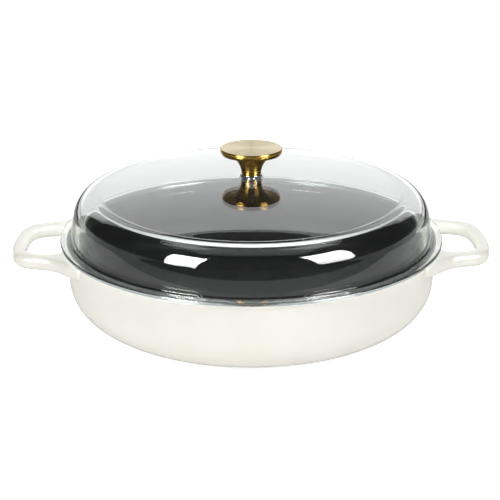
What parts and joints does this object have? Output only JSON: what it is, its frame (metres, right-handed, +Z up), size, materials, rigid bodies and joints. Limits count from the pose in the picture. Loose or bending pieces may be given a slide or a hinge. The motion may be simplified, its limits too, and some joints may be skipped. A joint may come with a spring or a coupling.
{
  "type": "braiser with glass lid",
  "caption": "Shallow round enamelled cast-iron braiser with loop side handles and a domed glass lid that lifts off by a screwed-on trumpet knob.",
  "frame": {"origin": "centre of the flat underside, at the level the pan stands on", "axes": "+Z up through the knob, +X through the right-hand handle, -Y towards the viewer"},
  "size_m": [0.3812, 0.305, 0.1326],
  "materials": {
    "cream_enamel": "gloss",
    "black_enamel": "satin",
    "clear_glass": "polished",
    "gold_metal": "satin",
    "bright_ring": "gloss",
    "black_silicone": "matte",
    "stainless_steel": "satin"
  },
  "bodies": {
    "pan": {"pan_body": "cream_enamel", "interior_enamel": "black_enamel"},
    "lid": {"glass_lid": "clear_glass", "upper_gasket": "black_silicone", "lower_grommet": "black_silicone", "flat_washer": "stainless_steel", "lock_washer": "stainless_steel", "knob_screw": "stainless_steel"},
    "knob_ring": {"knob_ring": "bright_ring"},
    "knob": {"knob": "gold_metal"}
  },
  "joints": [
    {"name": "lid_lift", "type": "slide", "parent": "pan", "child": "lid", "axis": [0, 0, 1], "range_m": [0, 0.15]},
    {"name": "knob_rise", "type": "slide", "parent": "lid", "child": "knob_ring", "axis": [0, 0, 1], "range_m": [0, 0.0105]},
    {"name": "knob_turn", "type": "hinge", "parent": "knob_ring", "child": "knob", "pos_m": [0, 0, 0.12], "axis": [0, 0, 1], "range_deg": [0, 4680]}
  ],
  "couplings": [
    {"joint": "knob_rise", "follows": "knob_turn", "m_per_rad": 0.00012732}
  ]
}
